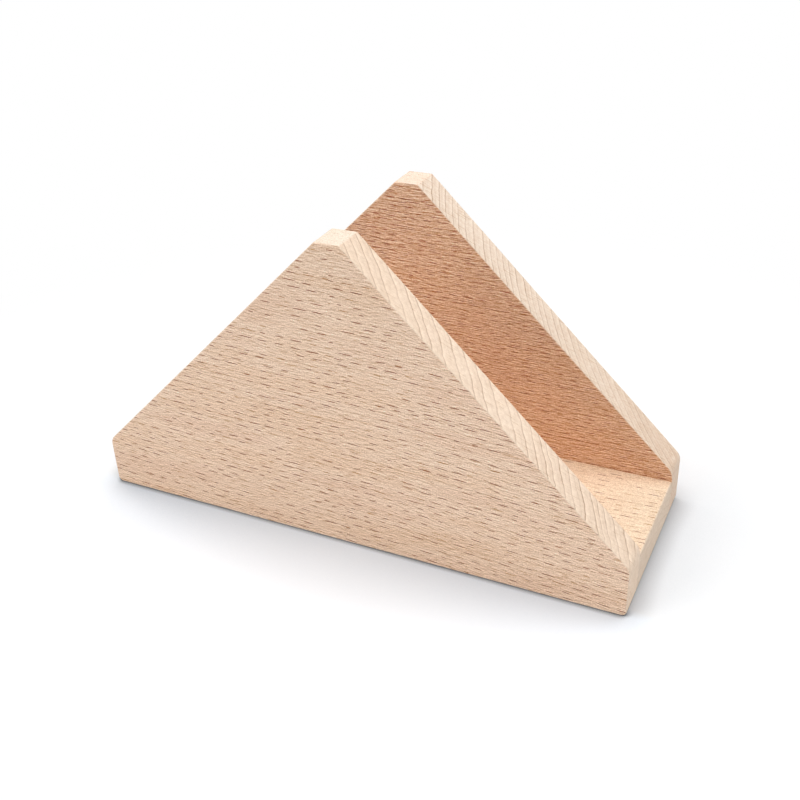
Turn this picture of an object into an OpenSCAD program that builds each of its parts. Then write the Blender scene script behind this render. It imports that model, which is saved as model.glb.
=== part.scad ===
// Wooden napkin holder: two pointed side panels with a base board glued and dowelled between them.
// The origin is on the ground under the middle. X runs along the panels, -Y is the front, Z is up.

/* [Holder] */
// Overall length, along the panels
holder_length = 160; // [140:1:200]
// Overall height, to the flat at the peak
holder_height = 90; // [70:1:110]
// Clear width of the slot that holds the napkins
napkin_gap = 36; // [32:1:60]
// Width of the bevel that sanding leaves along an open edge
edge_ease = 0.6; // [0.2:0.1:0.9]

/* [Side panels] */
// Thickness of each side panel
panel_thickness = 10; // [9:0.5:16]
// Height of a panel's upright ends, below its slopes
end_height = 15; // [14:0.5:24]
// Length of the flat at a panel's peak
peak_flat = 7; // [4:0.5:20]
// Corner radius where a slope meets an upright end
shoulder_radius = 4; // [1:0.5:8]
// Corner radius at the bottom of an upright end
foot_radius = 1.5; // [1:0.5:4]
// Corner radius at the two ends of the peak's flat
peak_radius = 1; // [1:0.5:3]

/* [Base board] */
// Thickness of the base board
base_thickness = 12; // [9:0.5:13]
// Corner radius along the top of the base board's two ends
lip_radius = 0.6; // [0.3:0.1:2]

/* [Dowels] */
// Diameter of a dowel
dowel_diameter = 6; // [4:0.5:7]
// Length of a dowel
dowel_length = 20; // [14:1:21]
// Length of dowel that sits in a side panel
dowel_seat = 6.5; // [5:0.5:7]
// Distance between the two dowels of one panel
dowel_spacing = 100; // [60:1:120]
// Bevel at both ends of a dowel
dowel_bevel = 0.8; // [0.4:0.1:1.4]
// Number of glue flutes round a dowel
flute_count = 12; // [6:1:16]
// Diameter of the cutter that leaves a flute
flute_diameter = 0.8; // [0.4:0.1:1]
// Gap between a dowel and the wall of its hole, which the glue fills
glue_gap = 0.1; // [0.05:0.05:0.2]
// Spare depth at each end of a dowel, for the glue it pushes ahead
glue_pocket = 0.5; // [0.2:0.1:0.8]

/* [Hidden] */
$fn = 64;
panel_wood = "burlywood";
base_wood = "wheat";
dowel_wood = "tan";
// How far a cut runs past the face that it opens
overrun = 1;
half_length = holder_length / 2;
half_gap = napkin_gap / 2;
dowel_height = base_thickness / 2;
hole_diameter = dowel_diameter + 2 * glue_gap;
panel_hole_depth = dowel_seat + glue_pocket;
base_hole_depth = dowel_length - dowel_seat + glue_pocket;
// Sharp corners of a panel, counter-clockwise from its lower left, and the radius of each
panel_corners = [
    [-half_length, 0],
    [half_length, 0],
    [half_length, end_height],
    [peak_flat / 2, holder_height],
    [-peak_flat / 2, holder_height],
    [-half_length, end_height]
];
panel_radii = [foot_radius, foot_radius, shoulder_radius, peak_radius, peak_radius, shoulder_radius];
// Sharp corners of the base board seen from the front, and the radius of each
base_corners = [
    [-half_length, 0],
    [half_length, 0],
    [half_length, base_thickness],
    [-half_length, base_thickness]
];
base_radii = [foot_radius, foot_radius, lip_radius, lip_radius];

function unit(v) = v / norm(v);
function wrap(list, i) = list[(i + len(list)) % len(list)];
// Directions from corner i of an outline towards its two neighbours
function arm_back(corners, i) = unit(wrap(corners, i - 1) - corners[i]);
function arm_on(corners, i) = unit(wrap(corners, i + 1) - corners[i]);
function half_angle(corners, i) = acos(arm_back(corners, i) * arm_on(corners, i)) / 2;
function round_centre(corners, radii, i) =
    corners[i] + unit(arm_back(corners, i) + arm_on(corners, i)) * radii[i] / sin(half_angle(corners, i));
// The two points where the round of corner i meets the straight edges
function round_ends(corners, radii, i) =
    let (reach = radii[i] / tan(half_angle(corners, i)))
    [corners[i] + arm_back(corners, i) * reach, corners[i] + arm_on(corners, i) * reach];

// A convex outline with each of its corners rounded by its own radius
module rounded_outline(corners, radii) {
    polygon([for (i = [0:len(corners) - 1]) each round_ends(corners, radii, i)]);
    for (i = [0:len(corners) - 1])
        translate(round_centre(corners, radii, i))
            circle(r = radii[i]);
}

// Cutter that bevels the straight edge between two points of an outline, in the plane of its face
module edge_cutter(start, end) {
    run = end - start;
    side = edge_ease * sqrt(2);
    translate(start)
        rotate([0, 0, atan2(run.y, run.x)])
            rotate([45, 0, 0])
                translate([-overrun, -side / 2, -side / 2])
                    cube([norm(run) + 2 * overrun, side, side]);
}

// Blind dowel hole along Y, from the plane y = 0 towards +Y
module dowel_hole(depth) {
    rotate([-90, 0, 0])
        translate([0, 0, -overrun])
            cylinder(h = depth + overrun, d = hole_diameter);
}

module at_dowels(side_y) {
    for (x = [-1, 1] * dowel_spacing / 2)
        translate([x, side_y, dowel_height])
            children();
}

// Side panel on the -Y side of the slot. Its inner face is at the slot, its outer face is bevelled all round.
module side_panel() {
    last = len(panel_corners) - 1;
    outer_y = -half_gap - panel_thickness;
    difference() {
        translate([0, -half_gap, 0])
            rotate([90, 0, 0])
                linear_extrude(panel_thickness)
                    rounded_outline(panel_corners, panel_radii);
        for (i = [0:last])
            translate([0, outer_y, 0])
                rotate([90, 0, 0])
                    edge_cutter(panel_corners[i], wrap(panel_corners, i + 1));
        // The slopes and the peak are bevelled inside as well, where no board is glued on
        for (i = [2:last - 1])
            translate([0, -half_gap, 0])
                rotate([90, 0, 0])
                    edge_cutter(panel_corners[i], panel_corners[i + 1]);
        at_dowels(-half_gap)
            mirror([0, 1, 0])
                dowel_hole(panel_hole_depth);
    }
}

module front_panel() {
    color(panel_wood)
        side_panel();
}

module back_panel() {
    color(panel_wood)
        mirror([0, 1, 0])
            side_panel();
}

module base_board() {
    color(base_wood)
        difference() {
            translate([0, half_gap, 0])
                rotate([90, 0, 0])
                    linear_extrude(napkin_gap)
                        rounded_outline(base_corners, base_radii);
            at_dowels(-half_gap)
                dowel_hole(base_hole_depth);
            at_dowels(half_gap)
                mirror([0, 1, 0])
                    dowel_hole(base_hole_depth);
        }
}

// Fluted dowel along Y with bevelled ends, seated in the front panel when side is -1 and the back one when it is 1
module dowel(side, end) {
    radius = dowel_diameter / 2;
    color(dowel_wood)
        translate([end * dowel_spacing / 2, side * (half_gap + dowel_seat), dowel_height])
            rotate([side * 90, 0, 0])
                difference() {
                    rotate_extrude()
                        polygon([
                            [0, 0],
                            [radius - dowel_bevel, 0],
                            [radius, dowel_bevel],
                            [radius, dowel_length - dowel_bevel],
                            [radius - dowel_bevel, dowel_length],
                            [0, dowel_length]
                        ]);
                    for (i = [0:flute_count - 1])
                        rotate([0, 0, i * 360 / flute_count])
                            translate([radius, 0, -overrun])
                                cylinder(h = dowel_length + 2 * overrun, d = flute_diameter);
                }
}

module dowel_front_left() dowel(-1, -1);
module dowel_front_right() dowel(-1, 1);
module dowel_back_left() dowel(1, -1);
module dowel_back_right() dowel(1, 1);

front_panel();
back_panel();
base_board();
dowel_front_left();
dowel_front_right();
dowel_back_left();
dowel_back_right();
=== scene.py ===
# Napkin holder of raw beech: two pointed side panels, a base board between them and four hidden dowels.
# Metres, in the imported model's frame: X along the panels, -Y is the front, Z is up.
import math

import bpy
import numpy as np
from mathutils import Matrix, Vector


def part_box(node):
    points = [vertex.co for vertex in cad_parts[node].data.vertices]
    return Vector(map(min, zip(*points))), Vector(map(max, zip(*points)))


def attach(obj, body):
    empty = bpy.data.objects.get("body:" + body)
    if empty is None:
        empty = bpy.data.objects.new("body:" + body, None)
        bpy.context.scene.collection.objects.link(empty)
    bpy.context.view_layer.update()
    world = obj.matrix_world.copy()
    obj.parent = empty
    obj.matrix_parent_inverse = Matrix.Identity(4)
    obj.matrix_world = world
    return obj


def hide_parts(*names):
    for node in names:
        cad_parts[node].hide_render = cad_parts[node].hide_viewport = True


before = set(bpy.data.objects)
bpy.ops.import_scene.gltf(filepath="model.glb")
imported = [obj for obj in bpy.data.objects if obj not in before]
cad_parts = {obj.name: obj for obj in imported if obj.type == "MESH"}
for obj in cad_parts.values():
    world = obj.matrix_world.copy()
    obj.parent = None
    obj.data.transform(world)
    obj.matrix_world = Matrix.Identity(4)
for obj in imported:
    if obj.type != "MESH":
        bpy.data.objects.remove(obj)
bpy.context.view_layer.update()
print("frame loaded:", sorted(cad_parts))

mm = 0.001
metresToMm = 1000.0

# Node settings that come back in every tree
plus = {"operation": "ADD"}
minus = {"operation": "SUBTRACT"}
times = {"operation": "MULTIPLY"}
divided = {"operation": "DIVIDE"}
timesPlus = {"operation": "MULTIPLY_ADD"}
softStep = {"interpolation_type": "SMOOTHSTEP"}
inColor = {"data_type": "RGBA"}


# One helper for all the node trees: a node with its settings, its fixed inputs and its links, and for a curve
# the points that it joins by straight lines
def addNode(tree, kind, settings=None, inputs=None, points=None):
    node = tree.nodes.new(kind)
    for name, value in (settings or {}).items():
        setattr(node, name, value)
    for key, value in (inputs or {}).items():
        if isinstance(value, bpy.types.NodeSocket):
            tree.links.new(value, node.inputs[key])
        else:
            node.inputs[key].default_value = value
    if points:
        curve = node.mapping.curves[0]
        curve.points[0].location = points[0]
        curve.points[-1].location = points[-1]
        for point in points[1:-1]:
            curve.points.new(*point)
        for point in curve.points:
            point.handle_type = "VECTOR"
        node.mapping.update()
    return node


# An sRGB hex colour as linear red, green, blue and alpha
def linearColor(hexText):
    srgb = np.array([int(hexText[i:i + 2], 16) for i in (1, 3, 5)]) / 255
    linear = np.where(srgb <= 0.04045, srgb / 12.92, ((srgb + 0.055) / 1.055) ** 2.4)
    return (*linear.tolist(), 1.0)


# Camera, fitted to the holder's edges: it looks from azimuth and elevation at a point near the origin
camera = {
    "azimuth": math.radians(26.2242),
    "elevation": math.radians(30.5871),
    "roll": math.radians(-2.2187),
    "distance": 310.18 * mm,
    "aimRight": 4.034 * mm,
    "aimHeight": 30.919 * mm,
    "focalPixels": 1076.19,
    "framePixels": 800,  # width that focalPixels belongs to
    "sensor": 36.0,
    "near": 10 * mm,
    "far": 20.0,
}


# The camera stands back from the point that it aims at, along azimuth and elevation, and is turned by roll
def makeCamera(cam):
    az, el, roll = cam["azimuth"], cam["elevation"], cam["roll"]
    back = Vector((math.sin(az) * math.cos(el), -math.cos(az) * math.cos(el), math.sin(el)))
    side = Vector((math.cos(az), math.sin(az), 0.0))
    rise = back.cross(side)
    right = math.cos(roll) * side + math.sin(roll) * rise
    up = math.cos(roll) * rise - math.sin(roll) * side
    place = side * cam["aimRight"] + Vector((0, 0, cam["aimHeight"])) + back * cam["distance"]
    data = bpy.data.cameras.new("camera")
    data.sensor_width = cam["sensor"]
    data.lens = cam["focalPixels"] / cam["framePixels"] * cam["sensor"]
    data.clip_start = cam["near"]
    data.clip_end = cam["far"]
    holder = bpy.data.objects.new("camera", data)
    holder.matrix_world = Matrix.Translation(place) @ Matrix((right, up, back)).transposed().to_4x4()
    bpy.context.scene.collection.objects.link(holder)
    bpy.context.scene.camera = holder


makeCamera(camera)
print("camera placed")

# Boards: ease is the radius that sanding leaves on an arris, seam the sharper one where two boards meet
panel = {
    "endHeight": 15 * mm,
    "peakFlat": 7 * mm,
    "shoulderRadius": 4 * mm,  # where the end meets the slope
    "footRadius": 1.5 * mm,
    "peakRadius": 1 * mm,
    "ease": 0.35 * mm,
    "seam": 0.05 * mm,
    "easeWander": 0.25,  # how far the ease strays, as a share of it
    "waves": ((5, 0.6), (13, 0.4)),  # (waves round the outline, share of the wander)
    "openBy": 2 * mm,  # height over the base board in which the seam grows to the ease
}
base = {
    "footRadius": 1.5 * mm,
    "lipRadius": 0.6 * mm,
    "seam": 0.06 * mm,
    "topSeam": 0.3 * mm,
    "topSeamFades": 1.5 * mm,
    "facingUp": 0.99,  # upward part of the normal from which a point counts as on top
}
boardMesh = {
    "arcSteps": 10,  # round a corner of the outline
    "edgeSteps": 24,  # along each straight run
    "roundSteps": 6,  # over an arris
    "capRings": (0.7, 0.35),  # sizes of the rings that close a face
    "support": 0.12 * mm,  # a ring this close to the arris keeps the shading of the face flat
    "sharpFrom": math.radians(40),
}
bore = {
    "clearance": 0.1 * mm,  # glue gap
    "pocket": 0.5 * mm,  # room for glue at each end
    "sides": 48,
}
dowels = ("dowel_front_left", "dowel_front_right", "dowel_back_left", "dowel_back_right")
low, high = (Vector(corner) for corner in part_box("front_panel"))
baseLow, baseHigh = (Vector(corner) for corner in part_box("base_board"))


# Outline with rounded corners: each corner's arc is its centre plus radius times (cos, sin) of an angle that
# turns from the normal of the edge before to the normal of the edge after, and straight runs join the arcs.
# Returns the points and their outward normals, counter-clockwise.
def roundedOutline(corners, radii):
    corners = np.array(corners, float)
    radii = np.array(radii, float)
    back = np.roll(corners, 1, 0) - corners
    on = np.roll(corners, -1, 0) - corners
    back /= np.linalg.norm(back, axis=1, keepdims=True)
    on /= np.linalg.norm(on, axis=1, keepdims=True)
    half = np.arccos(np.sum(back * on, 1)) / 2
    inward = back + on
    inward /= np.linalg.norm(inward, axis=1, keepdims=True)
    centres = corners + inward * (radii / np.sin(half))[:, None]
    before = np.arctan2(back[:, 0], -back[:, 1])
    turn = math.pi - 2 * half
    share = np.linspace(0, 1, boardMesh["arcSteps"] + 1)
    angle = before[:, None] + turn[:, None] * share
    arcNormals = np.stack([np.cos(angle), np.sin(angle)], -1)
    arcs = centres[:, None] + radii[:, None, None] * arcNormals
    step = np.arange(1, boardMesh["edgeSteps"]) / boardMesh["edgeSteps"]
    start = arcs[:, -1:]
    end = np.roll(arcs[:, :1], -1, 0)
    runs = start + (end - start) * step[None, :, None]
    runNormals = np.repeat(arcNormals[:, -1:], len(step), 1)
    points = np.concatenate([arcs, runs], 1).reshape(-1, 2)
    normals = np.concatenate([arcNormals, runNormals], 1).reshape(-1, 2)
    return points, normals


# Board: a profile carried round the outline. The profile goes from one face over a quarter round, along the
# edge, and over a second quarter round to the other face; each face is closed by rings that shrink to a pole.
# easeA and easeB are the radii of the two quarter rounds at every point of the outline. arris is the sine of
# twice the angle round each quarter, so it is 1 in the middle of an arris and 0 on the flats.
def boardSurface(points, normals, sideA, sideB, easeA, easeB):
    turn = np.linspace(0, math.pi / 2, boardMesh["roundSteps"] + 1)
    across = np.sign(sideB - sideA)
    rings = []
    for angle in turn:
        inset = easeA * (1 - math.sin(angle))
        depth = sideA + across * easeA * (1 - math.cos(angle))
        rings.append((points - normals * inset[:, None], depth, math.sin(2 * angle)))
    for angle in turn[::-1]:
        inset = easeB * (1 - math.sin(angle))
        depth = sideB - across * easeB * (1 - math.cos(angle))
        rings.append((points - normals * inset[:, None], depth, math.sin(2 * angle)))
    support = boardMesh["support"]
    rings.insert(0, (rings[0][0] - normals * support, rings[0][1], 0.0))
    rings.append((rings[-1][0] - normals * support, rings[-1][1], 0.0))
    middle = points.mean(0)
    capA, capB = [], []
    for cap, ring, side in ((capA, rings[0][0], sideA), (capB, rings[-1][0], sideB)):
        for scale in boardMesh["capRings"]:
            cap.append((middle + (ring - middle) * scale, np.full(len(points), side), 0.0))
    rings = capA[::-1] + rings + capB
    grid = np.stack([np.column_stack([flat[:, 0], depth, flat[:, 1]]) for flat, depth, _ in rings])
    arris = np.repeat([mark for _, _, mark in rings], len(points))
    poles = np.array([[middle[0], sideA, middle[1]], [middle[0], sideB, middle[1]]])
    rows, count = grid.shape[:2]
    vertices = np.concatenate([grid.reshape(-1, 3), poles])
    index = np.arange(rows * count).reshape(rows, count)
    after = np.roll(index, -1, 1)
    quads = np.stack([index[:-1], after[:-1], after[1:], index[1:]], -1).reshape(-1, 4)
    poleA, poleB = rows * count, rows * count + 1
    fanA = np.column_stack([after[0], index[0], np.full(count, poleA)])
    fanB = np.column_stack([index[-1], after[-1], np.full(count, poleB)])
    return vertices, quads, np.concatenate([fanA, fanB]), np.append(arris, [0.0, 0.0])


# The mesh faces outwards when the volumes under its faces, seen from the origin, add up to more than nothing
def makeMesh(name, vertices, quads, triangles, arris):
    corner = vertices[triangles]
    volume = np.einsum("ij,ij->i", corner[:, 0], np.cross(corner[:, 1], corner[:, 2])).sum()
    wall = vertices[quads]
    volume += np.einsum("ij,ij->i", wall[:, 0], np.cross(wall[:, 1], wall[:, 2])).sum()
    volume += np.einsum("ij,ij->i", wall[:, 0], np.cross(wall[:, 2], wall[:, 3])).sum()
    if volume < 0:
        quads, triangles = quads[:, ::-1], triangles[:, ::-1]
    mesh = bpy.data.meshes.new(name)
    mesh.from_pydata(vertices.tolist(), [], quads.tolist() + triangles.tolist())
    mesh.attributes.new("arris", "FLOAT", "POINT").data.foreach_set("value", arris)
    piece = bpy.data.objects.new(name, mesh)
    bpy.context.scene.collection.objects.link(piece)
    return piece


# Hand sanding leaves the arris a little wider here and narrower there: ease times (1 plus the wander times
# the sum of a slow and a quick sine of the way round the outline)
def easeAlong(points, phase):
    step = np.linalg.norm(np.roll(points, -1, 0) - points, axis=1)
    around = (np.cumsum(step) - step) / step.sum() * 2 * math.pi
    (slow, slowShare), (quick, quickShare) = panel["waves"]
    wave = slowShare * np.sin(slow * around + phase) + quickShare * np.sin(quick * around + 2 * phase)
    return panel["ease"] * (1 + panel["easeWander"] * wave)


# Panel: a low rectangle under a triangle whose peak is cut flat. Its inner arris is sharp up to the base
# board's top and eased from there on.
def makePanel(name, outerY, innerY, phase):
    half, top = high.x, high.z
    corners = [(-half, 0), (half, 0), (half, panel["endHeight"]), (panel["peakFlat"] / 2, top)]
    corners += [(-panel["peakFlat"] / 2, top), (-half, panel["endHeight"])]
    foot, shoulder, peak = panel["footRadius"], panel["shoulderRadius"], panel["peakRadius"]
    points, normals = roundedOutline(corners, [foot, foot, shoulder, peak, peak, shoulder])
    outer = easeAlong(points, phase)
    above = np.clip((points[:, 1] - baseHigh.z) / panel["openBy"], 0, 1)
    inner = panel["seam"] + (easeAlong(points, phase + 1) - panel["seam"]) * above
    return makeMesh(name, *boardSurface(points, normals, outerY, innerY, outer, inner))


# Base board: a rounded rectangle. Its two long upper arrises are eased a little, and sharp near the ends.
def makeBase(name):
    half, top = baseHigh.x, baseHigh.z
    corners = [(-half, 0), (half, 0), (half, top), (-half, top)]
    foot, lip = base["footRadius"], base["lipRadius"]
    points, normals = roundedOutline(corners, [foot, foot, lip, lip])
    fromLip = half - lip - np.abs(points[:, 0])
    onTop = normals[:, 1] > base["facingUp"]
    inside = np.clip(fromLip / base["topSeamFades"], 0, 1) * onTop
    seam = base["seam"] + (base["topSeam"] - base["seam"]) * inside
    return makeMesh(name, *boardSurface(points, normals, baseLow.y, baseHigh.y, seam, seam))


# Dowel hole: a closed tube of points round the dowel's own axis, each its middle plus radius times (cos, sin)
# of the turn, taken out of the board
def drill(piece, dowel):
    start, end = (Vector(corner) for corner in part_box(dowel))
    middle = (start + end) / 2
    radius = (end.x - start.x) / 2 + bore["clearance"]
    turn = np.arange(bore["sides"]) / bore["sides"] * 2 * math.pi
    circle = np.stack([middle.x + radius * np.cos(turn), middle.z + radius * np.sin(turn)], -1)
    depths = (start.y - bore["pocket"], end.y + bore["pocket"])
    rings = [np.column_stack([circle[:, 0], np.full(len(turn), depth), circle[:, 1]]) for depth in depths]
    near = np.arange(bore["sides"])
    after = np.roll(near, -1)
    wall = np.column_stack([near, near + bore["sides"], after + bore["sides"], after])
    mesh = bpy.data.meshes.new("bore")
    ends = [near.tolist(), (near[::-1] + bore["sides"]).tolist()]
    mesh.from_pydata(np.concatenate(rings).tolist(), [], wall.tolist() + ends)
    cutter = bpy.data.objects.new("bore", mesh)
    bpy.context.scene.collection.objects.link(cutter)
    cut = piece.modifiers.new("bore", "BOOLEAN")
    cut.operation = "DIFFERENCE"
    cut.solver = "EXACT"
    cut.object = cutter
    depsgraph = bpy.context.evaluated_depsgraph_get()
    drilled = bpy.data.meshes.new_from_object(piece.evaluated_get(depsgraph))
    piece.modifiers.clear()
    piece.data = drilled
    drilled.name = piece.name
    bpy.data.objects.remove(cutter)


frontPanel = makePanel("panel_front", low.y, high.y, phase=0.4)
backPanel = makePanel("panel_back", -low.y, -high.y, phase=2.1)
baseBoard = makeBase("board_base")
for board, drilled in ((frontPanel, dowels[:2]), (backPanel, dowels[2:]), (baseBoard, dowels)):
    for dowel in drilled:
        drill(board, dowel)
    board.data.shade_smooth()
    board.data.set_sharp_from_angle(angle=boardMesh["sharpFrom"])
    print(board.name, "has", len(board.data.polygons), "faces")

# Steamed beech, planed, sawn to shape and sanded by hand, left without finish. It gives the eye a pale
# pinkish ground with a dull sheen, short dark flecks where rays come out of a long face, fine fibre lines
# between them, and on the sawn slopes growth rings that end in a thin line each. Sizes are in millimetres,
# and a cell is the spacing of a pattern along the board, across the rays and along them. Real fibres and
# pores are under 0.1 mm across, too fine to show at three pixels a millimetre, so fibreCell and grainCell
# draw them some 0.3 mm wide.
beech = {
    "late": "#a06e40",  # dark wood at the end of a year
    "seasonBand": ((0.0, 0.0), (0.10, 0.0), (0.30, 0.5), (1.0, 1.0)),  # (share of a year, how dark)
    "seasonLine": ((0.0, 0.0), (0.42, 0.0), (0.48, 0.25), (0.54, 0.0), (0.83, 0.0), (0.93, 1.0), (0.99, 0.0),
                   (1.0, 0.0)),
    "bandLevel": (0.03, 0.25),  # on planed faces and on sawn ones
    "lineLevel": (0.10, 0.88),
    "yearLevel": (0.7, 1.0),  # faintest and clearest year
    "lineFade": {"cell": 9.0, "noise": (0.35, 0.6), "level": (0.55, 1.0)},  # rings fade in places
    "strongRay": {
        "cell": (5.0, 1.2, 24.0),
        "half": (0.46, 0.064),  # half a spindle's length and thickness, in cells
        "short": 0.3,  # the shortest, as a share of the longest
        "slide": 9.0,  # how far a row may slide along the grain, in cells
        "rowSway": 0.24,  # how far a row strays across the rays, in cells
        "sway": 0.05,  # and a spindle from its row
        "core": 0.45,  # share of the spindle that is fully dark
        "rarity": 1.4,  # higher leaves fewer dark ones
        "dark": 1.0,  # the darkest spindle
        "thread": 0.16,  # and the darkest thread
    },
    "faintRay": {
        "cell": (4.4, 0.44, 12.0),
        "half": (0.44, 0.15),
        "short": 0.3,
        "slide": 9.0,
        "rowSway": 0.12,
        "sway": 0.07,
        "core": 0.2,
        "rarity": 1.6,
        "dark": 0.28,
        "thread": 0.05,
    },
    "taper": 4.0,  # higher gives blunter tips
    "rimReach": 1.9,  # a rim ends this many times as far out as its spindle
    "fleckCore": (0.2, 0.05, 0.01),  # red, green and blue that the darkest fleck keeps
    "flatFleck": 0.2,  # share of the flecks and fibres on the long edges
    "endFleck": 0.12,  # and on sawn faces
    "plainEnd": 0.35,  # share of the rings on the square ends
    "sawnFacing": (0.2, 0.65),  # part of the normal along the grain, from planed to sawn
    "squareFacing": (0.8, 0.97),  # part of the normal along an axis, from slanted to square
    "drift": {"cell": (110.0, 60.0, 60.0), "reach": 0.8},  # warps of the grain's run
    "wiggle": {"cell": (9.0, 3.0, 3.0), "reach": 0.30},
    "warpShift": (1.0, 3.0, 7.0),  # cells that a board's seed moves the warps by
    "rosy": {"color": "#dba687", "noise": (0.5, 0.66)},  # patches, from none to full
    "honey": {"color": "#e2b080", "noise": (0.5, 0.34)},
    "patchCell": (38.0, 8.0, 6.0),
    "patchShift": (5.0, 1.0, 1.0),
    "calmPatch": 0.3,  # share of the patches on edges and sawn faces
    "fibreStep": 0.45,  # in fibre cells
    "grainCell": 0.35,
    "grainLevel": (0.19, 0.05),  # on planed faces and on sawn ones
    "sawnCell": 1.1,  # torn fibres on sawn faces
    "sawnLevel": 0.07,
    "noiseSpan": (0.3, 0.7),  # where most of a noise lies
    # the arris tint is partly sanded wood and partly a painted highlight along each arris
    "arris": "#f8e6d2",  # pale where it was sanded
    "arrisPaleAndHighlight": 0.3,
    "roughness": (0.50, 0.66),  # of raised fibres and of low ones
    "sheen": 0.15,  # specular level
    "grooveDepth": 0.3,  # of a fleck, where fibres stand up by 1
}

# Each board was sawn at its own place in the log. pith is where the heart of the log lies, as (y, z);
# ringStart is the distance from it to the first ring in the board, and ringWidths are the years' growths from
# there outwards. zones, ringLevels and fleckZones are (share of that span, amount): how much darker the board
# is drawn, and how clear its rings and its flecks are; on the back panel the zones are painted shade, deepest
# low in the slot between the panels. wave is how the fibres rise and fall along the board, in the direction
# rise, and ripple moves the rings alone. rayAngle turns from +Y to the rays' way out of the heart, rayScale
# makes their cells larger or smaller, and fibreTilt leans them along the board. axes puts the grain's way
# first, and edgeAxis is the way that the long edges face. ground is the tone of the wide faces, flat of the
# long edges, on the panels paler for the edge grain and for a painted highlight on the peak flats, and
# endGrain of the sawn ones. fleckDepth is how fast a fleck loses red, green and blue, and warmth how far each
# of them follows the painted light and shade of the fibres, so dark fibres are warmer. The levels say how
# strongly each pattern shows. relief is in millimetres.
frontGrain = {
    "axes": "XYZ",
    "edgeAxis": "Z",
    "pith": (-87.0, 143.0),
    "ringStart": 79.0,
    "ringWidths": (2.5, 2.4, 2.4, 2.6, 3.2, 2.9, 2.1, 3.0, 3.1, 3.0, 2.4, 3.1, 3.3, 2.6, 2.4, 2.1, 1.5, 2.4,
                   2.2, 2.7, 2.7, 1.3, 1.5, 2.2, 2.7, 2.4, 2.6, 2.5, 2.3, 2.7, 2.5, 2.5),
    "ringLevels": ((0.0, 0.58), (0.25, 0.62), (0.5, 0.8), (1.0, 0.8)),
    "zones": ((0.0, 0.05), (0.11, 0.05), (0.23, 0.02), (0.4, 0.0), (0.67, 0.01), (0.82, 0.05), (1.0, 0.08)),
    "wave": {"length": 180.0, "height": 0.5, "start": -20.0, "rise": (0.0, 0.0, 1.0)},
    "ripple": {"cell": (4.0, 4.0, 4.0), "reach": 1.1},
    "ground": "#f8dcc4",
    # paler and greyer than the ground: the edge grain's own tone, and a painted highlight on the peak flat
    "flat": "#f0e1cf",
    "endGrain": "#f9e3cd",
    "rayAngle": -54.0,
    "rayScale": (1.0, 0.95, 1.0),
    "fleckDepth": (0.74, 1.04, 1.40),
    "fleckLevel": 3.05,
    "fleckZones": ((0.0, 0.70), (0.2, 0.76), (0.4, 1.0), (1.0, 1.0)),
    "rimLevel": 0.1,
    "fibreCell": (1.8, 0.27, 8.0),
    "fibreTilt": 0.035,
    # strength of the fibres' painted light and shade
    "fibreShadeLevel": 1.2,
    "warmth": (0.78, 1.0, 1.24),
    "patchLevel": 0.16,
    "relief": 0.2,
    "seed": 1.0,
}
backGrain = {
    "axes": "XYZ",
    "edgeAxis": "Z",
    "pith": (62.0, -5.0),
    "ringStart": 34.0,
    "ringWidths": (2.3, 2.1, 2.5, 2.3, 2.2, 2.4, 2.3, 2.1, 2.5, 2.3, 2.2, 2.4, 2.3, 2.2, 2.4, 2.0, 2.4, 1.5,
                   1.6, 1.8, 2.3, 1.8, 1.5, 1.7, 1.8, 1.9, 2.7, 2.1, 1.9, 1.4, 1.9, 1.6, 1.9, 2.4),
    "ringLevels": ((0.0, 0.46), (0.35, 0.52), (0.6, 0.8), (1.0, 0.8)),
    # painted shade: the back panel is drawn darker towards its foot, deepest low in the slot between the
    # panels
    "zones": ((0.0, 0.14), (0.2, 0.12), (0.3, 0.06), (0.6, 0.01), (1.0, 0.0)),
    "wave": {"length": 320.0, "height": 1.6, "start": 120.0, "rise": (0.0, 0.0, 1.0)},
    "ripple": {"cell": (4.0, 4.0, 4.0), "reach": 0.4},
    "ground": "#f4cdae",
    # paler and greyer than the ground: the edge grain's own tone, and a painted highlight on the peak flat
    "flat": "#f0dac6",
    "endGrain": "#f2dfcc",
    "rayAngle": -49.0,
    "rayScale": (0.95, 0.8, 1.0),
    "fleckDepth": (0.60, 1.0, 1.45),
    "fleckLevel": 5.2,
    "fleckZones": ((0.0, 0.78), (0.3, 0.8), (0.6, 0.88), (0.85, 1.0), (1.0, 1.0)),
    "rimLevel": 0.2,
    "fibreCell": (2.4, 0.28, 8.0),
    "fibreTilt": 0.0,
    # strength of the fibres' painted light and shade
    "fibreShadeLevel": 1.95,
    "warmth": (0.58, 1.0, 1.34),
    "patchLevel": 0.14,
    "relief": 0.3,
    "seed": 2.0,
}
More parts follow.
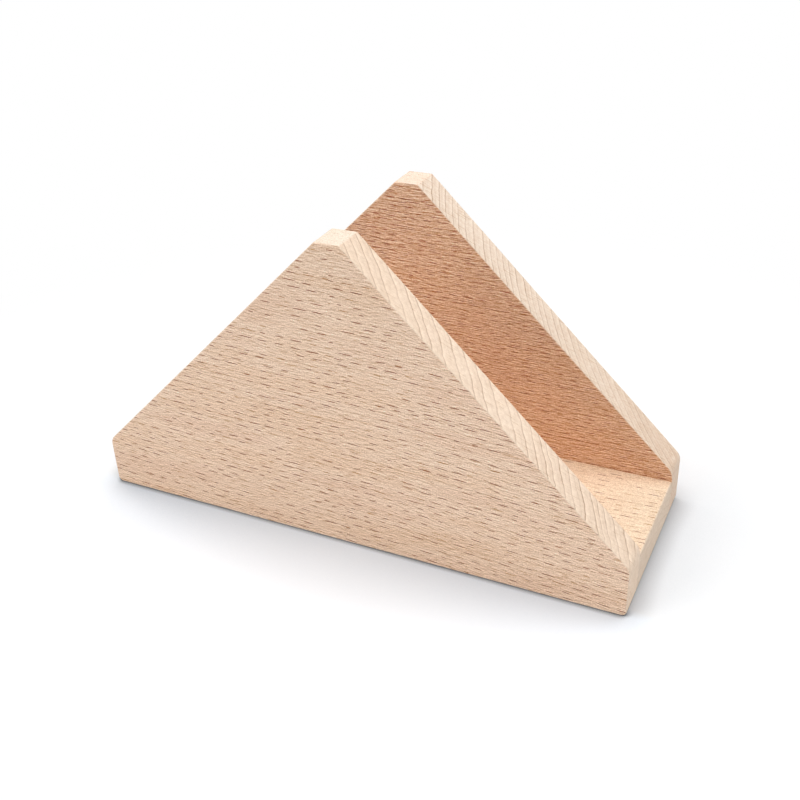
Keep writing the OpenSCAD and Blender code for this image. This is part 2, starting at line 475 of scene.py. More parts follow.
baseGrain = {
    "axes": "XYZ",
    "edgeAxis": "Y",
    "pith": (-25.0, -70.0),
    "ringStart": 66.0,
    "ringWidths": (2.4, 2.0, 2.7, 2.2, 1.9, 2.6, 2.3, 2.8, 2.1, 2.4, 2.0, 2.5, 2.2, 2.6, 2.3),
    "ringLevels": ((0.0, 0.5), (1.0, 0.5)),
    "zones": ((0.0, 0.0), (1.0, 0.0)),
    "wave": {"length": 300.0, "height": 2.0, "start": 0.0, "rise": (0.0, 1.0, 0.0)},
    "ripple": {"cell": (4.0, 4.0, 4.0), "reach": 1.0},
    "ground": "#f1d9be",
    "flat": "#f0d7bc",
    "endGrain": "#e7d3be",
    "rayAngle": -120.0,
    "rayScale": (1.0, 1.5, 1.0),
    "fleckDepth": (0.74, 1.04, 1.40),
    "fleckLevel": 2.0,
    "fleckZones": ((0.0, 1.0), (1.0, 1.0)),
    "rimLevel": 0.05,
    "fibreCell": (2.2, 0.34, 8.0),
    "fibreTilt": -0.05,
    # strength of the fibres' painted light and shade
    "fibreShadeLevel": 0.5,
    "warmth": (0.78, 1.0, 1.24),
    "patchLevel": 0.12,
    "relief": 0.2,
    "seed": 3.0,
}
dowelGrain = {**baseGrain, "axes": "YXZ", "seed": 4.0}  # a dowel lies along Y


# A warp: the run plus, across the board, the noise read at a place less a half, times the warp's reach
def addWarp(tree, run, place, warp, seed):
    shift = tuple(seed * cells for cells in beech["warpShift"])
    cellPlace = addNode(tree, "ShaderNodeVectorMath", divided, {0: place, 1: warp["cell"]})
    moved = addNode(tree, "ShaderNodeVectorMath", plus, {0: cellPlace.outputs[0], 1: shift})
    noise = addNode(tree, "ShaderNodeTexNoise", {}, {"Vector": moved.outputs[0], "Scale": 1.0, "Detail": 1.0})
    centred = addNode(tree, "ShaderNodeVectorMath", minus, {0: noise.outputs["Color"], 1: (0.5, 0.5, 0.5)})
    warped = addNode(tree, "ShaderNodeVectorMath", timesPlus,
                     {0: centred.outputs[0], 1: (0.0, warp["reach"], warp["reach"]), 2: run})
    return warped.outputs[0]


# The grain's run: the place moved by one long wave, a slow drift over the whole board and a small wiggle
# from fibre to fibre
def addGrainRun(tree, place, along, board):
    wave, seed = board["wave"], board["seed"]
    turn = 2 * math.pi / wave["length"]
    phase = addNode(tree, "ShaderNodeMath", timesPlus, {0: along, 1: turn, 2: -turn * wave["start"]})
    swing = addNode(tree, "ShaderNodeMath", {"operation": "SINE"}, {0: phase.outputs[0]})
    crest = tuple(-wave["height"] * part for part in wave["rise"])
    rise = addNode(tree, "ShaderNodeVectorMath", {"operation": "SCALE"},
                   {0: crest, "Scale": swing.outputs[0]})
    run = addNode(tree, "ShaderNodeVectorMath", plus, {0: place, 1: rise.outputs[0]})
    drifted = addWarp(tree, run.outputs[0], place, beech["drift"], seed)
    return addWarp(tree, drifted, place, beech["wiggle"], seed)


# Growth rings: the distance from the heart, counted in years by a curve that rises one step a ring. Gives the
# slow darkening within a year, the thin line that ends it, and the board's darker and less flecked zones.
def addRings(tree, run, board):
    run = addWarp(tree, run, run, board["ripple"], board["seed"])
    fromPith = addNode(tree, "ShaderNodeVectorMath", minus, {0: run, 1: (0.0, *board["pith"])})
    section = addNode(tree, "ShaderNodeVectorMath", times, {0: fromPith.outputs[0], 1: (0.0, 1.0, 1.0)})
    radius = addNode(tree, "ShaderNodeVectorMath", {"operation": "LENGTH"}, {0: section.outputs[0]})
    widths = np.array(board["ringWidths"])
    span = float(widths.sum())
    grown = np.cumsum(widths) / span
    depth = addNode(tree, "ShaderNodeMapRange", {},
                    {0: radius.outputs["Value"], 1: board["ringStart"], 2: board["ringStart"] + span})
    yearPoints = [(float(share), (year + 1) / len(widths)) for year, share in enumerate(grown[:-1])]
    years = addNode(tree, "ShaderNodeFloatCurve", {}, {"Value": depth.outputs[0]},
                    [(0.0, 0.0), *yearPoints, (1.0, 1.0)])
    count = addNode(tree, "ShaderNodeMath", times, {0: years.outputs[0], 1: float(len(widths))})
    season = addNode(tree, "ShaderNodeMath", {"operation": "FRACT"}, {0: count.outputs[0]})
    year = addNode(tree, "ShaderNodeMath", {"operation": "FLOOR"}, {0: count.outputs[0]})
    weather = addNode(tree, "ShaderNodeTexWhiteNoise", {"noise_dimensions": "1D"}, {"W": year.outputs[0]})
    faintest, clearest = beech["yearLevel"]
    harsh = addNode(tree, "ShaderNodeMapRange", {}, {0: weather.outputs["Value"], 3: faintest, 4: clearest})
    fade = beech["lineFade"]
    fadeFrom, fadeBy = fade["noise"]
    least, most = fade["level"]
    fadePlace = addNode(tree, "ShaderNodeVectorMath", {"operation": "SCALE"},
                        {0: run, "Scale": 1 / fade["cell"]})
    fadeNoise = addNode(tree, "ShaderNodeTexNoise", {},
                        {"Vector": fadePlace.outputs[0], "Scale": 1.0, "Detail": 2.0})
    kept = addNode(tree, "ShaderNodeMapRange", {},
                   {0: fadeNoise.outputs[0], 1: fadeFrom, 2: fadeBy, 3: least, 4: most})
    level = addNode(tree, "ShaderNodeMath", times, {0: harsh.outputs[0], 1: kept.outputs[0]})
    clear, zone, fleckZone = (
        addNode(tree, "ShaderNodeFloatCurve", {}, {"Value": depth.outputs[0]}, board[part])
        for part in ("ringLevels", "zones", "fleckZones")
    )
    level = addNode(tree, "ShaderNodeMath", times, {0: level.outputs[0], 1: clear.outputs[0]})
    rings = {"zone": zone.outputs[0], "fleckZone": fleckZone.outputs[0]}
    for part, points in (("band", beech["seasonBand"]), ("line", beech["seasonLine"])):
        dark = addNode(tree, "ShaderNodeFloatCurve", {}, {"Value": season.outputs[0]}, points)
        shown = addNode(tree, "ShaderNodeMath", times, {0: dark.outputs[0], 1: level.outputs[0]})
        rings[part] = shown.outputs[0]
    return rings


# How a face was cut, from the way it looks: sawn is 1 on the slopes and ends, edge is 1 on the long edges,
# and plain falls to plainEnd on the square ends
def addCut(tree, normal, board):
    facing = addNode(tree, "ShaderNodeSeparateXYZ", {}, {0: normal})
    steep = addNode(tree, "ShaderNodeMath", {"operation": "ABSOLUTE"}, {0: facing.outputs["X"]})
    edgeOn = addNode(tree, "ShaderNodeMath", {"operation": "ABSOLUTE"},
                     {0: facing.outputs[board["edgeAxis"]]})
    sawnFrom, sawnBy = beech["sawnFacing"]
    squareFrom, squareBy = beech["squareFacing"]
    sawn = addNode(tree, "ShaderNodeMapRange", softStep, {0: steep.outputs[0], 1: sawnFrom, 2: sawnBy})
    plain = addNode(tree, "ShaderNodeMapRange", softStep,
                    {0: steep.outputs[0], 1: squareFrom, 2: squareBy, 3: 1.0, 4: beech["plainEnd"]})
    edge = addNode(tree, "ShaderNodeMapRange", softStep, {0: edgeOn.outputs[0], 1: squareFrom, 2: squareBy})
    return {"sawn": sawn.outputs[0], "plain": plain.outputs[0], "edge": edge.outputs[0]}


# The rays' frame: along the board, across the rays and along them, out of the heart
def addRayFrame(tree, run, board):
    turn = math.radians(board["rayAngle"])
    rayLong = (0.0, math.cos(turn), math.sin(turn))
    rayThin = (board["fibreTilt"], -math.sin(turn), math.cos(turn))
    along = addNode(tree, "ShaderNodeSeparateXYZ", {}, {0: run})
    thin = addNode(tree, "ShaderNodeVectorMath", {"operation": "DOT_PRODUCT"}, {0: run, 1: rayThin})
    long = addNode(tree, "ShaderNodeVectorMath", {"operation": "DOT_PRODUCT"}, {0: run, 1: rayLong})
    rayPlace = addNode(tree, "ShaderNodeCombineXYZ", {},
                       {0: along.outputs["X"], 1: thin.outputs["Value"], 2: long.outputs["Value"]})
    return rayPlace.outputs[0]


# One kind of ray: rows of spindles, each row slid along the grain and set across it by its own chance. In
# each cell chance sets how dark the spindle is, how long, and how far off its row. Its edge is where the
# share of its thickness plus the share of its length to the power of taper is 1. A faint thread runs along
# the row from spindle to spindle. The fibres part a little round a spindle and catch the light, so it also
# gets a pale rim.
def addRay(tree, rayPlace, ray, scale):
    cell = tuple(size * factor for size, factor in zip(ray["cell"], scale))
    halfLong, halfThick = ray["half"]
    cellPlace = addNode(tree, "ShaderNodeVectorMath", divided, {0: rayPlace, 1: cell})
    ahead = addNode(tree, "ShaderNodeVectorMath", {"operation": "FLOOR"}, {0: cellPlace.outputs[0]})
    row = addNode(tree, "ShaderNodeVectorMath", times, {0: ahead.outputs[0], 1: (0.0, 1.0, 1.0)})
    rowNoise = addNode(tree, "ShaderNodeTexWhiteNoise", {}, {"Vector": row.outputs[0]})
    rowChance = addNode(tree, "ShaderNodeSeparateColor", {}, {0: rowNoise.outputs["Color"]})
    slid = addNode(tree, "ShaderNodeVectorMath", timesPlus,
                   {0: rowNoise.outputs["Color"], 1: (ray["slide"], 0.0, 0.0), 2: cellPlace.outputs[0]})
    corner = addNode(tree, "ShaderNodeVectorMath", {"operation": "FLOOR"}, {0: slid.outputs[0]})
    inside = addNode(tree, "ShaderNodeVectorMath", {"operation": "FRACTION"}, {0: slid.outputs[0]})
    spot = addNode(tree, "ShaderNodeSeparateXYZ", {}, {0: inside.outputs[0]})
    cellNoise = addNode(tree, "ShaderNodeTexWhiteNoise", {}, {"Vector": corner.outputs[0]})
    chance = addNode(tree, "ShaderNodeSeparateColor", {}, {0: cellNoise.outputs["Color"]})
    dark = addNode(tree, "ShaderNodeMath", {"operation": "POWER"}, {0: chance.outputs[0], 1: ray["rarity"]})

    # length share, from the spindle's middle
    reach = addNode(tree, "ShaderNodeMapRange", {},
                    {0: chance.outputs[1], 3: halfLong * ray["short"], 4: halfLong})
    fromMiddle = addNode(tree, "ShaderNodeMath", minus, {0: spot.outputs["X"], 1: 0.5})
    lengthShare = addNode(tree, "ShaderNodeMath", divided, {0: fromMiddle.outputs[0], 1: reach.outputs[0]})
    tapered = addNode(tree, "ShaderNodeMath", {"operation": "POWER"},
                      {0: lengthShare.outputs[0], 1: beech["taper"]})

    # the thread follows the row, half a cell up give or take rowSway, and the spindle sways from it
    rowMiddle = addNode(tree, "ShaderNodeMapRange", {},
                        {0: rowChance.outputs[1], 3: -0.5 - ray["rowSway"], 4: -0.5 + ray["rowSway"]})
    fromRow = addNode(tree, "ShaderNodeMath", plus, {0: spot.outputs["Y"], 1: rowMiddle.outputs[0]})
    offThread = addNode(tree, "ShaderNodeMath", {"operation": "ABSOLUTE"}, {0: fromRow.outputs[0]})
    thread = addNode(tree, "ShaderNodeMapRange", softStep,
                     {0: offThread.outputs[0], 1: 0.0, 2: halfThick, 3: ray["thread"], 4: 0.0})
    threaded = addNode(tree, "ShaderNodeMath", times, {0: thread.outputs[0], 1: rowChance.outputs[2]})
    sway = addNode(tree, "ShaderNodeMapRange", {}, {0: chance.outputs[2], 3: -ray["sway"], 4: ray["sway"]})
    swayed = addNode(tree, "ShaderNodeMath", plus, {0: fromRow.outputs[0], 1: sway.outputs[0]})
    offRow = addNode(tree, "ShaderNodeMath", {"operation": "ABSOLUTE"}, {0: swayed.outputs[0]})
    fromCore = addNode(tree, "ShaderNodeMath", timesPlus,
                       {0: offRow.outputs[0], 1: 1 / halfThick, 2: tapered.outputs[0]})
    spindle = addNode(tree, "ShaderNodeMapRange", softStep,
                      {0: fromCore.outputs[0], 1: ray["core"], 2: 1.0, 3: ray["dark"], 4: 0.0})
    darkened = addNode(tree, "ShaderNodeMath", times, {0: dark.outputs[0], 1: spindle.outputs[0]})
    fleck = addNode(tree, "ShaderNodeMath", {"operation": "MAXIMUM"},
                    {0: darkened.outputs[0], 1: threaded.outputs[0]})
    parted = addNode(tree, "ShaderNodeMapRange", softStep,
                     {0: fromCore.outputs[0], 1: 1.0, 2: beech["rimReach"], 3: ray["dark"], 4: 0.0})
    rim = addNode(tree, "ShaderNodeMath", times, {0: dark.outputs[0], 1: parted.outputs[0]})
    return fleck.outputs[0], rim.outputs[0]


# Flecks and their rims: the stronger of the two kinds of ray at each place
def addFlecks(tree, rayPlace, scale):
    strong = addRay(tree, rayPlace, beech["strongRay"], scale)
    faint = addRay(tree, rayPlace, beech["faintRay"], scale)
    both = [addNode(tree, "ShaderNodeMath", {"operation": "MAXIMUM"}, {0: first, 1: second})
            for first, second in zip(strong, faint)]
    return both[0].outputs[0], both[1].outputs[0]


# Fibres: noise stretched along the grain. lean is the noise here less the noise one step across, a painted
# light and shade that makes a raised fibre pale on its upper flank and dark on its lower one, as under
# overhead light.
def addFibres(tree, rayPlace, board):
    place = addNode(tree, "ShaderNodeVectorMath", divided, {0: rayPlace, 1: board["fibreCell"]})
    stepped = addNode(tree, "ShaderNodeVectorMath", plus,
                      {0: place.outputs[0], 1: (0.0, beech["fibreStep"], 0.0)})
    fibre = addNode(tree, "ShaderNodeTexNoise", {}, {"Vector": place.outputs[0], "Scale": 1.0, "Detail": 1.0})
    across = addNode(tree, "ShaderNodeTexNoise", {},
                     {"Vector": stepped.outputs[0], "Scale": 1.0, "Detail": 1.0})
    lean = addNode(tree, "ShaderNodeMath", minus, {0: fibre.outputs[0], 1: across.outputs[0]})
    return fibre.outputs[0], lean.outputs[0]


# Ground colour: the cut's own tone, rosy where slow noise is high and honey where it is low, and over that
# the rings, which show best on sawn faces
def addGround(tree, run, rings, cut, board):
    long = addNode(tree, "ShaderNodeMix", inColor,
                   {0: cut["edge"], 6: linearColor(board["ground"]), 7: linearColor(board["flat"])})
    color = addNode(tree, "ShaderNodeMix", inColor,
                    {0: cut["sawn"], 6: long.outputs[2], 7: linearColor(board["endGrain"])})
    shift = tuple(board["seed"] * cells for cells in beech["patchShift"])
    cellPlace = addNode(tree, "ShaderNodeVectorMath", divided, {0: run, 1: beech["patchCell"]})
    moved = addNode(tree, "ShaderNodeVectorMath", plus, {0: cellPlace.outputs[0], 1: shift})
    patch = addNode(tree, "ShaderNodeTexNoise", {}, {"Vector": moved.outputs[0], "Scale": 1.0, "Detail": 2.0})
    calm = addNode(tree, "ShaderNodeMath", {"operation": "MAXIMUM"}, {0: cut["sawn"], 1: cut["edge"]})
    patchLevel = board["patchLevel"]
    level = addNode(tree, "ShaderNodeMapRange", {},
                    {0: calm.outputs[0], 3: patchLevel, 4: patchLevel * beech["calmPatch"]})
    for tint in (beech["rosy"], beech["honey"]):
        start, full = tint["noise"]
        spread = addNode(tree, "ShaderNodeMapRange", {}, {0: patch.outputs[0], 1: start, 2: full})
        share = addNode(tree, "ShaderNodeMath", times, {0: spread.outputs[0], 1: level.outputs[0]})
        color = addNode(tree, "ShaderNodeMix", inColor,
                        {0: share.outputs[0], 6: color.outputs[2], 7: linearColor(tint["color"])})
    shown = []
    for part, (onPlaned, onSawn) in (("band", beech["bandLevel"]), ("line", beech["lineLevel"])):
        strength = addNode(tree, "ShaderNodeMapRange", {}, {0: cut["sawn"], 3: onPlaned, 4: onSawn})
        plainer = addNode(tree, "ShaderNodeMath", times, {0: strength.outputs[0], 1: cut["plain"]})
        shown.append(addNode(tree, "ShaderNodeMath", times, {0: rings[part], 1: plainer.outputs[0]}))
    ringShare = addNode(tree, "ShaderNodeMath", plus, {0: shown[0].outputs[0], 1: shown[1].outputs[0]})
    color = addNode(tree, "ShaderNodeMix", inColor,
                    {0: ringShare.outputs[0], 6: color.outputs[2], 7: linearColor(beech["late"])})
    return color.outputs[2]


# Light and dark: the fibres' painted light and shade and the rims' painted highlight, fine grain, the
# roughness of sawn faces and the zones, multiplied. Each colour is 1 plus the change that they make times
# the board's warmth.
def addTone(tree, place, paintedFibreShade, zone, sawn, board):
    spanLow, spanHigh = beech["noiseSpan"]
    onPlaned, onSawn = beech["grainLevel"]
    grain = addNode(tree, "ShaderNodeTexNoise", {},
                    {"Vector": place, "Scale": 1 / beech["grainCell"], "Detail": 1.0})
    spread = addNode(tree, "ShaderNodeMapRange", {"clamp": False},
                     {0: grain.outputs[0], 1: spanLow, 2: spanHigh, 3: -1.0, 4: 1.0})
    fine = addNode(tree, "ShaderNodeMapRange", {}, {0: sawn, 3: onPlaned, 4: onSawn})
    grainShade = addNode(tree, "ShaderNodeMath", timesPlus,
                         {0: spread.outputs[0], 1: fine.outputs[0], 2: 1.0})
    torn = addNode(tree, "ShaderNodeTexNoise", {},
                   {"Vector": place, "Scale": 1 / beech["sawnCell"], "Detail": 1.0})
    sawnLevel = beech["sawnLevel"]
    rough = addNode(tree, "ShaderNodeMapRange", {"clamp": False},
                    {0: torn.outputs[0], 1: spanLow, 2: spanHigh, 3: -sawnLevel, 4: sawnLevel})
    sawnShade = addNode(tree, "ShaderNodeMath", timesPlus, {0: rough.outputs[0], 1: sawn, 2: 1.0})
    zoned = addNode(tree, "ShaderNodeMath", minus, {0: 1.0, 1: zone})
    shade = paintedFibreShade
    for factor in (grainShade, sawnShade, zoned):
        product = addNode(tree, "ShaderNodeMath", times, {0: shade, 1: factor.outputs[0]})
        shade = product.outputs[0]
    change = addNode(tree, "ShaderNodeMath", minus, {0: shade, 1: 1.0})
    tone = addNode(tree, "ShaderNodeVectorMath", timesPlus,
                   {0: change.outputs[0], 1: board["warmth"], 2: (1.0, 1.0, 1.0)})
    return tone.outputs[0]


# Beech for one board: the ground times its tone and flecks, pale on the arrises from sanding and a painted
# highlight. Flecks are fine grooves, and fibres stand up between them, smoothest where they are highest.
def makeBeech(name, board):
    material = bpy.data.materials.new(name)
    material.use_nodes = True
    tree = material.node_tree
    tree.nodes.clear()
    coords = addNode(tree, "ShaderNodeTexCoord")
    geometry = addNode(tree, "ShaderNodeNewGeometry")
    turned = []
    for vector in (coords.outputs["Object"], geometry.outputs["True Normal"]):
        parts = addNode(tree, "ShaderNodeSeparateXYZ", {}, {0: vector})
        first, second, third = (parts.outputs[axis] for axis in board["axes"])
        turned.append(addNode(tree, "ShaderNodeCombineXYZ", {}, {0: first, 1: second, 2: third}))
    place = addNode(tree, "ShaderNodeVectorMath", {"operation": "SCALE"},
                    {0: turned[0].outputs[0], "Scale": metresToMm})
    placed = addNode(tree, "ShaderNodeSeparateXYZ", {}, {0: place.outputs[0]})
    run = addGrainRun(tree, place.outputs[0], placed.outputs["X"], board)
    rings = addRings(tree, run, board)
    cut = addCut(tree, turned[1].outputs[0], board)
    rayPlace = addRayFrame(tree, run, board)
    fleck, rim = addFlecks(tree, rayPlace, board["rayScale"])
    fibre, lean = addFibres(tree, rayPlace, board)

    # flecks and fibres are fainter on the long edges and on sawn faces, and flecks also in some zones
    onEdge = addNode(tree, "ShaderNodeMapRange", {}, {0: cut["edge"], 3: 1.0, 4: beech["flatFleck"]})
    onSawn = addNode(tree, "ShaderNodeMapRange", {}, {0: cut["sawn"], 3: 1.0, 4: beech["endFleck"]})
    fade = addNode(tree, "ShaderNodeMath", times, {0: onEdge.outputs[0], 1: onSawn.outputs[0]})
    zoneFade = addNode(tree, "ShaderNodeMath", times, {0: fade.outputs[0], 1: rings["fleckZone"]})
    faded = addNode(tree, "ShaderNodeMath", times, {0: fleck, 1: zoneFade.outputs[0]})
    fleckShare = addNode(tree, "ShaderNodeMath", {"operation": "MULTIPLY", "use_clamp": True},
                         {0: faded.outputs[0], 1: board["fleckLevel"]})
    # painted light and shade on the fibres' flanks, plus the fleck rims' painted highlight
    leaning = addNode(tree, "ShaderNodeMath", timesPlus, {0: lean, 1: board["fibreShadeLevel"], 2: 1.0})
    rimmed = addNode(tree, "ShaderNodeMath", timesPlus, {0: rim, 1: board["rimLevel"], 2: leaning.outputs[0]})
    paintedFibreShade = addNode(tree, "ShaderNodeMix", {"data_type": "FLOAT"},
                     {0: fade.outputs[0], 2: 1.0, 3: rimmed.outputs[0]})

    # colour
    ground = addGround(tree, run, rings, cut, board)
    tone = addTone(tree, place.outputs[0], paintedFibreShade.outputs[0], rings["zone"], cut["sawn"], board)
    shaded = addNode(tree, "ShaderNodeVectorMath", times, {0: ground, 1: tone})
    loss = tuple(-part for part in board["fleckDepth"])
    kept = addNode(tree, "ShaderNodeVectorMath", timesPlus,
                   {0: fleckShare.outputs[0], 1: loss, 2: (1.0, 1.0, 1.0)})
    brown = addNode(tree, "ShaderNodeVectorMath", {"operation": "MAXIMUM"},
                    {0: kept.outputs[0], 1: beech["fleckCore"]})
    flecked = addNode(tree, "ShaderNodeVectorMath", times, {0: shaded.outputs[0], 1: brown.outputs[0]})
    # pale arris line: sanding, and a painted highlight
    arris = addNode(tree, "ShaderNodeAttribute", {"attribute_name": "arris"})
    sandedAndHighlit = addNode(tree, "ShaderNodeMath", times, {0: arris.outputs["Fac"], 1: beech["arrisPaleAndHighlight"]})
    color = addNode(tree, "ShaderNodeMix", inColor,
                    {0: sandedAndHighlit.outputs[0], 6: flecked.outputs[0], 7: linearColor(beech["arris"])})

    # roughness and relief
    smooth, dull = beech["roughness"]
    spanLow, spanHigh = beech["noiseSpan"]
    roughness = addNode(tree, "ShaderNodeMapRange", {},
                        {0: fibre, 1: spanLow, 2: spanHigh, 3: dull, 4: smooth})
    standing = addNode(tree, "ShaderNodeMath", times, {0: fibre, 1: fade.outputs[0]})
    groove = addNode(tree, "ShaderNodeMath", times, {0: fleckShare.outputs[0], 1: beech["grooveDepth"]})
    relief = addNode(tree, "ShaderNodeMath", minus, {0: standing.outputs[0], 1: groove.outputs[0]})
    bump = addNode(tree, "ShaderNodeBump", {},
                   {"Height": relief.outputs[0], "Strength": 1.0, "Distance": board["relief"] * mm})
    surface = addNode(tree, "ShaderNodeBsdfPrincipled", {},
                      {"Base Color": color.outputs[2], "Roughness": roughness.outputs[0],
                       "Specular IOR Level": beech["sheen"], "Normal": bump.outputs[0]})
    addNode(tree, "ShaderNodeOutputMaterial", {}, {"Surface": surface.outputs[0]})
    return material


frontPanel.data.materials.append(makeBeech("raw_beech_front", frontGrain))
backPanel.data.materials.append(makeBeech("raw_beech_back", backGrain))
baseBoard.data.materials.append(makeBeech("raw_beech_base", baseGrain))
dowelWood = makeBeech("raw_beech_dowel", dowelGrain)
print("beech made")

for piece, node, slot in (
    (frontPanel, "front_panel", "panel_beech"),
    (backPanel, "back_panel", "panel_beech"),
    (baseBoard, "base_board", "base_beech"),
):
    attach(piece, "root")
    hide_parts(node)

for name in dowels:
    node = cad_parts[name]
    if node.data.materials:
        node.data.materials[0] = dowelWood
    else:
        node.data.materials.append(dowelWood)
print("pieces ride on the frame")

# White table. For the camera it is painted with a soft cool shade round the holder's foot and a thin dark
# contact shadow under the front panel, over the lamps' own shadows, and it is plain white further out.
table = {
    "reach": 3.0,
    "white": (0.85, 0.85, 0.85, 1.0),  # as all but the camera sees it
    # painted cool tint in front, which cancels the warm light that the panel throws on the table
    "frontSeen": "#f8fbff",  # bluer in front, where the panel throws warm light
    "sideSeen": "#f9fafb",
    "frontShade": "#acbdce",
    "sideShade": "#abb1ba",
    "shadeReach": 33 * mm,
    "lean": (-0.34, -0.18, 0.0),  # turns the shade's normal to the left and the front
    "halfRun": 80 * mm,
    # the painted shade is made deeper along the run, most at the left end
    "depths": ((0.0, 0.9), (0.12, 0.78), (0.35, 0.6), (0.5, 0.5), (0.8, 0.6), (1.0, 0.5)),
    "depthScale": 2.0,  # depths are (share of the run, half of the factor), because a curve ends at 1
    "samples": 8,
    # painted contact shadow: a thin dark line under the front panel
    "contactShadow": "#6a6e74",
    "contactReach": 2.5 * mm,
    "contactOpen": (0.45, 0.85),  # openness at which the line is full and at which it is gone
    "sideAt": (-28 * mm, -25 * mm),  # where front turns into side, along Y
    "clearAt": (0.10, 0.22),  # distance at which plain white begins and is reached
}


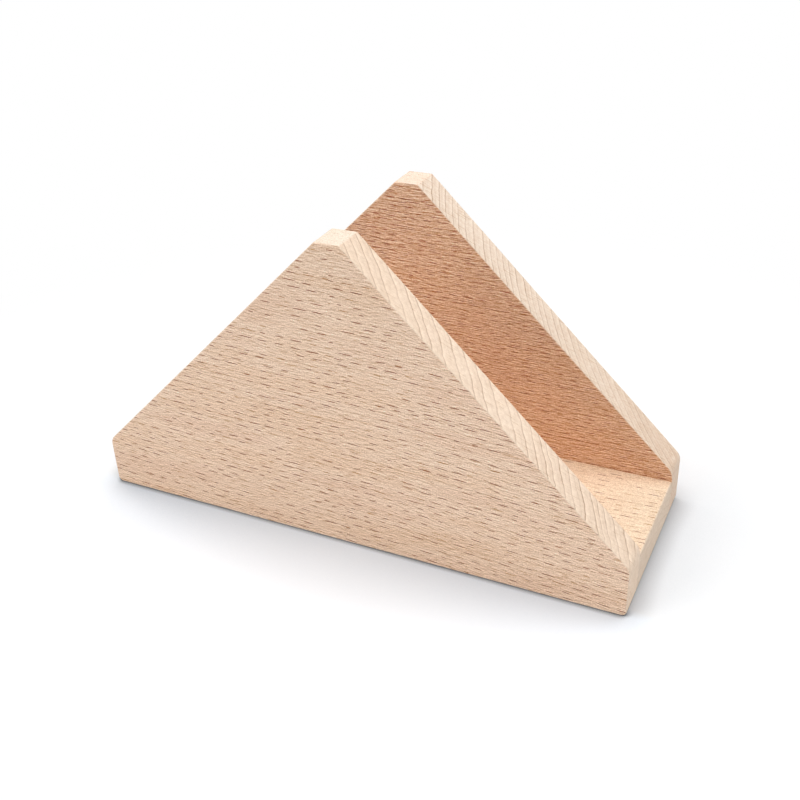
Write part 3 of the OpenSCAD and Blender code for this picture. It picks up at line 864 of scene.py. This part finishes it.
# Painted shade: one less how open the table is within shadeReach, times the depth there, mixes the two
# tones. The painted contact shadow is the same within contactReach, and only in front.
def makeTable():
    reach = table["reach"]
    corners = [(-reach, -reach, 0), (reach, -reach, 0), (reach, reach, 0), (-reach, reach, 0)]
    mesh = bpy.data.meshes.new("table")
    mesh.from_pydata(corners, [], [(0, 1, 2, 3)])
    top = bpy.data.objects.new("table", mesh)
    bpy.context.scene.collection.objects.link(top)
    material = bpy.data.materials.new("white_table")
    material.use_nodes = True
    tree = material.node_tree
    tree.nodes.clear()
    coords = addNode(tree, "ShaderNodeTexCoord")
    path = addNode(tree, "ShaderNodeLightPath")
    geometry = addNode(tree, "ShaderNodeNewGeometry")
    # painted shade, from how closed in the table is near the holder
    leaning = addNode(tree, "ShaderNodeVectorMath", plus, {0: geometry.outputs["Normal"], 1: table["lean"]})
    toLight = addNode(tree, "ShaderNodeVectorMath", {"operation": "NORMALIZE"}, {0: leaning.outputs[0]})
    corner = addNode(tree, "ShaderNodeAmbientOcclusion", {"samples": table["samples"]},
                     {"Distance": table["shadeReach"], "Normal": toLight.outputs[0]})
    spot = addNode(tree, "ShaderNodeSeparateXYZ", {}, {0: coords.outputs["Object"]})
    sideFrom, sideBy = table["sideAt"]
    beside = addNode(tree, "ShaderNodeMapRange", {}, {0: spot.outputs["Y"], 1: sideFrom, 2: sideBy})
    deepest, palest = (
        addNode(tree, "ShaderNodeMix", inColor,
                {0: beside.outputs[0], 6: linearColor(table[front]), 7: linearColor(table[side])})
        for front, side in (("frontShade", "sideShade"), ("frontSeen", "sideSeen"))
    )
    along = addNode(tree, "ShaderNodeMapRange", {},
                    {0: spot.outputs["X"], 1: -table["halfRun"], 2: table["halfRun"]})
    half = addNode(tree, "ShaderNodeFloatCurve", {}, {"Value": along.outputs[0]}, table["depths"])
    closed = addNode(tree, "ShaderNodeMath", minus, {0: 1.0, 1: corner.outputs["AO"]})
    halfShade = addNode(tree, "ShaderNodeMath", times, {0: closed.outputs[0], 1: half.outputs[0]})
    dimmed = addNode(tree, "ShaderNodeMath", {"operation": "MULTIPLY", "use_clamp": True},
                     {0: halfShade.outputs[0], 1: table["depthScale"]})
    shade = addNode(tree, "ShaderNodeMix", inColor,
                    {0: dimmed.outputs[0], 6: palest.outputs[2], 7: deepest.outputs[2]})
    touch = addNode(tree, "ShaderNodeAmbientOcclusion", {"samples": table["samples"]},
                    {"Distance": table["contactReach"]})
    lineFull, lineGone = table["contactOpen"]
    opened = addNode(tree, "ShaderNodeMapRange", {}, {0: touch.outputs["AO"], 1: lineFull, 2: lineGone})
    softened = addNode(tree, "ShaderNodeMix", {"data_type": "FLOAT"},
                       {0: beside.outputs[0], 2: opened.outputs[0], 3: 1.0})
    # the painted contact shadow line over the painted shade
    contactShadow = addNode(tree, "ShaderNodeMix", inColor,
                      {0: softened.outputs[0], 6: linearColor(table["contactShadow"]), 7: shade.outputs[2]})
    lit = addNode(tree, "ShaderNodeBsdfDiffuse", {}, {"Color": contactShadow.outputs[2]})
    away = addNode(tree, "ShaderNodeVectorMath", {"operation": "LENGTH"}, {0: coords.outputs["Object"]})
    clearFrom, clearBy = table["clearAt"]
    clear = addNode(tree, "ShaderNodeMapRange", softStep,
                    {0: away.outputs["Value"], 1: clearFrom, 2: clearBy})
    white = addNode(tree, "ShaderNodeEmission", {}, {"Strength": 1.0})
    seen = addNode(tree, "ShaderNodeMixShader", {},
                   {0: clear.outputs[0], 1: lit.outputs[0], 2: white.outputs[0]})
    plain = addNode(tree, "ShaderNodeBsdfDiffuse", {}, {"Color": table["white"]})
    both = addNode(tree, "ShaderNodeMixShader", {},
                   {0: path.outputs["Is Camera Ray"], 1: plain.outputs[0], 2: seen.outputs[0]})
    addNode(tree, "ShaderNodeOutputMaterial", {}, {"Surface": both.outputs[0]})
    mesh.materials.append(material)


makeTable()

# One broad softbox overhead, two weaker ones in front and two behind: place and size in metres, and watts
softboxes = {
    "overhead": ((0.0, 0.0, 1.2), 1.0, 15.1),
    "back": ((0.0, 1.2, 0.5), 0.8, 2.9),
    "front_left": ((-0.9, -0.9, 0.5), 0.8, 5.1),
    "front_right": ((0.9, -0.9, 0.5), 0.8, 3.8),
    "back_right": ((0.9, 0.9, 0.6), 0.8, 2.6),
}
for name, (place, size, power) in softboxes.items():
    data = bpy.data.lights.new(name, "AREA")
    data.shape = "SQUARE"
    data.size = size
    data.energy = power
    lamp = bpy.data.objects.new(name, data)
    lamp.location = place
    lamp.rotation_euler = Vector(place).to_track_quat("Z", "Y").to_euler()
    bpy.context.scene.collection.objects.link(lamp)

# White room: plain white for the camera and in the wood's dull sheen, with no other light from it
world = bpy.data.worlds.new("white_room")
world.use_nodes = True
bpy.context.scene.world = world
room = world.node_tree
room.nodes.clear()
roomPath = addNode(room, "ShaderNodeLightPath")
mirrored = addNode(room, "ShaderNodeMath", {"operation": "MAXIMUM"},
                   {0: roomPath.outputs["Is Camera Ray"], 1: roomPath.outputs["Is Glossy Ray"]})
shown = addNode(room, "ShaderNodeMath", {"operation": "MAXIMUM"},
                {0: mirrored.outputs[0], 1: roomPath.outputs["Is Transmission Ray"]})
wall = addNode(room, "ShaderNodeBackground", {},
               {"Color": (1.0, 1.0, 1.0, 1.0), "Strength": shown.outputs[0]})
addNode(room, "ShaderNodeOutputWorld", {}, {"Surface": wall.outputs[0]})
bpy.context.scene.view_settings.view_transform = "Standard"
print("stage lit")
